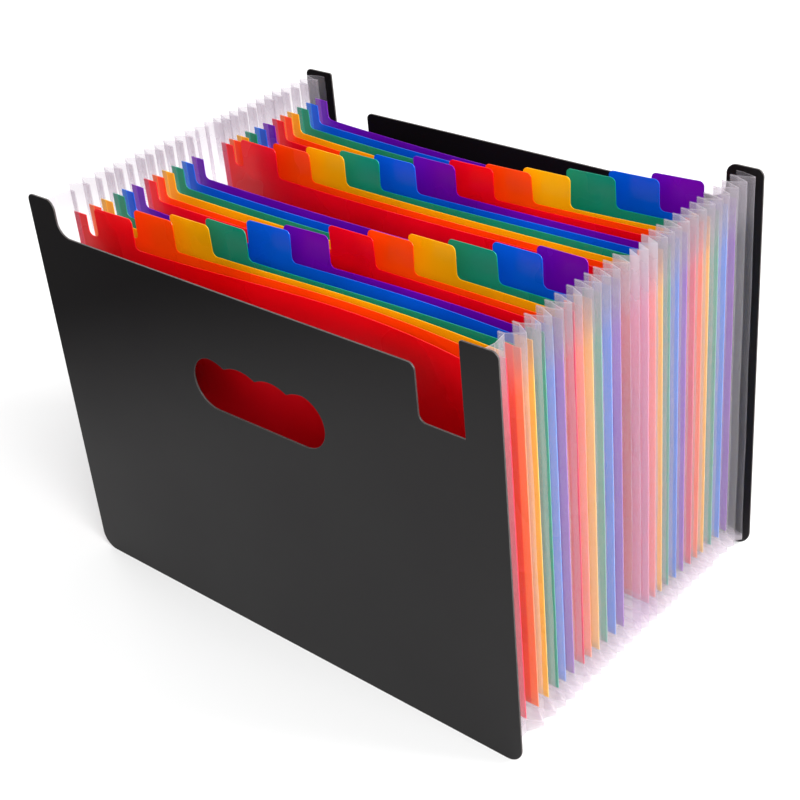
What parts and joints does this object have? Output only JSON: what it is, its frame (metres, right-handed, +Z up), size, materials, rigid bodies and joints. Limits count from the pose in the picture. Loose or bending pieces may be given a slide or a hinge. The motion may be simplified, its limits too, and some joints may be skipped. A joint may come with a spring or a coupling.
{
  "type": "accordion file folder",
  "caption": "Self-standing accordion file folder: black die-cut boards with hand holes, joined by a pleated translucent gusset that holds coloured tabbed dividers and slides shut.",
  "frame": {"origin": "on the desk, under the middle of the open folder", "axes": "+X along the width, to the right seen from the front; +Y from the front cover to the rear cover; +Z up"},
  "size_m": [0.33, 0.2246, 0.242],
  "materials": {
    "cover_black": "satin black polypropylene board with a fine grain",
    "divider_red": "red polypropylene sheet, smooth and slightly translucent",
    "divider_orange": "orange polypropylene sheet, smooth and slightly translucent",
    "divider_yellow": "yellow polypropylene sheet, smooth and slightly translucent",
    "divider_green": "green polypropylene sheet, smooth and slightly translucent",
    "divider_blue": "blue polypropylene sheet, smooth and slightly translucent",
    "divider_purple": "purple polypropylene sheet, smooth and slightly translucent",
    "gusset_film": "milky translucent polypropylene film"
  },
  "bodies": {
    "rear_cover": {"rear_cover": "cover_black", "gusset_pleat_25": "gusset_film"},
    "front_cover": {"front_cover": "cover_black"},
    "divider_01": {"divider_01": "divider_red", "gusset_pleat_01": "gusset_film"},
    "divider_02": {"divider_02": "divider_orange", "gusset_pleat_02": "gusset_film"},
    "divider_03": {"divider_03": "divider_yellow", "gusset_pleat_03": "gusset_film"},
    "divider_04": {"divider_04": "divider_green", "gusset_pleat_04": "gusset_film"},
    "divider_05": {"divider_05": "divider_blue", "gusset_pleat_05": "gusset_film"},
    "divider_06": {"divider_06": "divider_purple", "gusset_pleat_06": "gusset_film"},
    "divider_07": {"divider_07": "divider_red", "gusset_pleat_07": "gusset_film"},
    "divider_08": {"divider_08": "divider_orange", "gusset_pleat_08": "gusset_film"},
    "divider_09": {"divider_09": "divider_yellow", "gusset_pleat_09": "gusset_film"},
    "divider_10": {"divider_10": "divider_green", "gusset_pleat_10": "gusset_film"},
    "divider_11": {"divider_11": "divider_blue", "gusset_pleat_11": "gusset_film"},
    "divider_12": {"divider_12": "divider_purple", "gusset_pleat_12": "gusset_film"},
    "divider_13": {"divider_13": "divider_red", "gusset_pleat_13": "gusset_film"},
    "divider_14": {"divider_14": "divider_orange", "gusset_pleat_14": "gusset_film"},
    "divider_15": {"divider_15": "divider_yellow", "gusset_pleat_15": "gusset_film"},
    "divider_16": {"divider_16": "divider_green", "gusset_pleat_16": "gusset_film"},
    "divider_17": {"divider_17": "divider_blue", "gusset_pleat_17": "gusset_film"},
    "divider_18": {"divider_18": "divider_purple", "gusset_pleat_18": "gusset_film"},
    "divider_19": {"divider_19": "divider_red", "gusset_pleat_19": "gusset_film"},
    "divider_20": {"divider_20": "divider_orange", "gusset_pleat_20": "gusset_film"},
    "divider_21": {"divider_21": "divider_yellow", "gusset_pleat_21": "gusset_film"},
    "divider_22": {"divider_22": "divider_green", "gusset_pleat_22": "gusset_film"},
    "divider_23": {"divider_23": "divider_blue", "gusset_pleat_23": "gusset_film"},
    "divider_24": {"divider_24": "divider_purple", "gusset_pleat_24": "gusset_film"}
  },
  "joints": [
    {"name": "front_cover_slide", "type": "slide", "parent": "rear_cover", "child": "front_cover", "axis": [0, 1, 0], "range_m": [0, 0.18926], "deforming": ["gusset_pleat_01", "gusset_pleat_02", "gusset_pleat_03", "gusset_pleat_04", "gusset_pleat_05", "gusset_pleat_06", "gusset_pleat_07", "gusset_pleat_08", "gusset_pleat_09", "gusset_pleat_10", "gusset_pleat_11", "gusset_pleat_12", "gusset_pleat_13", "gusset_pleat_14", "gusset_pleat_15", "gusset_pleat_16", "gusset_pleat_17", "gusset_pleat_18", "gusset_pleat_19", "gusset_pleat_20", "gusset_pleat_21", "gusset_pleat_22", "gusset_pleat_23", "gusset_pleat_24", "gusset_pleat_25"]},
    {"name": "divider_01_slide", "type": "slide", "parent": "rear_cover", "child": "divider_01", "axis": [0, 1, 0], "range_m": [0, 0.17151], "deforming": ["gusset_pleat_01", "gusset_pleat_02"]},
    {"name": "divider_02_slide", "type": "slide", "parent": "rear_cover", "child": "divider_02", "axis": [0, 1, 0], "range_m": [0, 0.16209], "deforming": ["gusset_pleat_02", "gusset_pleat_03"]},
    {"name": "divider_03_slide", "type": "slide", "parent": "rear_cover", "child": "divider_03", "axis": [0, 1, 0], "range_m": [0, 0.15471], "deforming": ["gusset_pleat_03", "gusset_pleat_04"]},
    {"name": "divider_04_slide", "type": "slide", "parent": "rear_cover", "child": "divider_04", "axis": [0, 1, 0], "range_m": [0, 0.14716], "deforming": ["gusset_pleat_04", "gusset_pleat_05"]},
    {"name": "divider_05_slide", "type": "slide", "parent": "rear_cover", "child": "divider_05", "axis": [0, 1, 0], "range_m": [0, 0.14199], "deforming": ["gusset_pleat_05", "gusset_pleat_06"]},
    {"name": "divider_06_slide", "type": "slide", "parent": "rear_cover", "child": "divider_06", "axis": [0, 1, 0], "range_m": [0, 0.1358], "deforming": ["gusset_pleat_06", "gusset_pleat_07"]},
    {"name": "divider_07_slide", "type": "slide", "parent": "rear_cover", "child": "divider_07", "axis": [0, 1, 0], "range_m": [0, 0.12774], "deforming": ["gusset_pleat_07", "gusset_pleat_08"]},
    {"name": "divider_08_slide", "type": "slide", "parent": "rear_cover", "child": "divider_08", "axis": [0, 1, 0], "range_m": [0, 0.12257], "deforming": ["gusset_pleat_08", "gusset_pleat_09"]},
    {"name": "divider_09_slide", "type": "slide", "parent": "rear_cover", "child": "divider_09", "axis": [0, 1, 0], "range_m": [0, 0.11638], "deforming": ["gusset_pleat_09", "gusset_pleat_10"]},
    {"name": "divider_10_slide", "type": "slide", "parent": "rear_cover", "child": "divider_10", "axis": [0, 1, 0], "range_m": [0, 0.11019], "deforming": ["gusset_pleat_10", "gusset_pleat_11"]},
    {"name": "divider_11_slide", "type": "slide", "parent": "rear_cover", "child": "divider_11", "axis": [0, 1, 0], "range_m": [0, 0.10349], "deforming": ["gusset_pleat_11", "gusset_pleat_12"]},
    {"name": "divider_12_slide", "type": "slide", "parent": "rear_cover", "child": "divider_12", "axis": [0, 1, 0], "range_m": [0, 0.09679], "deforming": ["gusset_pleat_12", "gusset_pleat_13"]},
    {"name": "divider_13_slide", "type": "slide", "parent": "rear_cover", "child": "divider_13", "axis": [0, 1, 0], "range_m": [0, 0.07343], "deforming": ["gusset_pleat_13", "gusset_pleat_14"]},
    {"name": "divider_14_slide", "type": "slide", "parent": "rear_cover", "child": "divider_14", "axis": [0, 1, 0], "range_m": [0, 0.06826], "deforming": ["gusset_pleat_14", "gusset_pleat_15"]},
    {"name": "divider_15_slide", "type": "slide", "parent": "rear_cover", "child": "divider_15", "axis": [0, 1, 0], "range_m": [0, 0.06309], "deforming": ["gusset_pleat_15", "gusset_pleat_16"]},
    {"name": "divider_16_slide", "type": "slide", "parent": "rear_cover", "child": "divider_16", "axis": [0, 1, 0], "range_m": [0, 0.05741], "deforming": ["gusset_pleat_16", "gusset_pleat_17"]},
    {"name": "divider_17_slide", "type": "slide", "parent": "rear_cover", "child": "divider_17", "axis": [0, 1, 0], "range_m": [0, 0.05071], "deforming": ["gusset_pleat_17", "gusset_pleat_18"]},
    {"name": "divider_18_slide", "type": "slide", "parent": "rear_cover", "child": "divider_18", "axis": [0, 1, 0], "range_m": [0, 0.04452], "deforming": ["gusset_pleat_18", "gusset_pleat_19"]},
    {"name": "divider_19_slide", "type": "slide", "parent": "rear_cover", "child": "divider_19", "axis": [0, 1, 0], "range_m": [0, 0.03782], "deforming": ["gusset_pleat_19", "gusset_pleat_20"]},
    {"name": "divider_20_slide", "type": "slide", "parent": "rear_cover", "child": "divider_20", "axis": [0, 1, 0], "range_m": [0, 0.03214], "deforming": ["gusset_pleat_20", "gusset_pleat_21"]},
    {"name": "divider_21_slide", "type": "slide", "parent": "rear_cover", "child": "divider_21", "axis": [0, 1, 0], "range_m": [0, 0.02697], "deforming": ["gusset_pleat_21", "gusset_pleat_22"]},
    {"name": "divider_22_slide", "type": "slide", "parent": "rear_cover", "child": "divider_22", "axis": [0, 1, 0], "range_m": [0, 0.01942], "deforming": ["gusset_pleat_22", "gusset_pleat_23"]},
    {"name": "divider_23_slide", "type": "slide", "parent": "rear_cover", "child": "divider_23", "axis": [0, 1, 0], "range_m": [0, 0.0123], "deforming": ["gusset_pleat_23", "gusset_pleat_24"]},
    {"name": "divider_24_slide", "type": "slide", "parent": "rear_cover", "child": "divider_24", "axis": [0, 1, 0], "range_m": [0, 0.00517], "deforming": ["gusset_pleat_24", "gusset_pleat_25"]}
  ],
  "couplings": [
    {"joint": "divider_01_slide", "follows": "front_cover_slide", "ratio": 0.90621},
    {"joint": "divider_02_slide", "follows": "front_cover_slide", "ratio": 0.85644},
    {"joint": "divider_03_slide", "follows": "front_cover_slide", "ratio": 0.81745},
    {"joint": "divider_04_slide", "follows": "front_cover_slide", "ratio": 0.77755},
    {"joint": "divider_05_slide", "follows": "front_cover_slide", "ratio": 0.75024},
    {"joint": "divider_06_slide", "follows": "front_cover_slide", "ratio": 0.71753},
    {"joint": "divider_07_slide", "follows": "front_cover_slide", "ratio": 0.67494},
    {"joint": "divider_08_slide", "follows": "front_cover_slide", "ratio": 0.64763},
    {"joint": "divider_09_slide", "follows": "front_cover_slide", "ratio": 0.61492},
    {"joint": "divider_10_slide", "follows": "front_cover_slide", "ratio": 0.58221},
    {"joint": "divider_11_slide", "follows": "front_cover_slide", "ratio": 0.54681},
    {"joint": "divider_12_slide", "follows": "front_cover_slide", "ratio": 0.51141},
    {"joint": "divider_13_slide", "follows": "front_cover_slide", "ratio": 0.38798},
    {"joint": "divider_14_slide", "follows": "front_cover_slide", "ratio": 0.36067},
    {"joint": "divider_15_slide", "follows": "front_cover_slide", "ratio": 0.33335},
    {"joint": "divider_16_slide", "follows": "front_cover_slide", "ratio": 0.30334},
    {"joint": "divider_17_slide", "follows": "front_cover_slide", "ratio": 0.26794},
    {"joint": "divider_18_slide", "follows": "front_cover_slide", "ratio": 0.23523},
    {"joint": "divider_19_slide", "follows": "front_cover_slide", "ratio": 0.19983},
    {"joint": "divider_20_slide", "follows": "front_cover_slide", "ratio": 0.16982},
    {"joint": "divider_21_slide", "follows": "front_cover_slide", "ratio": 0.1425},
    {"joint": "divider_22_slide", "follows": "front_cover_slide", "ratio": 0.10261},
    {"joint": "divider_23_slide", "follows": "front_cover_slide", "ratio": 0.064964},
    {"joint": "divider_24_slide", "follows": "front_cover_slide", "ratio": 0.027317}
  ]
}
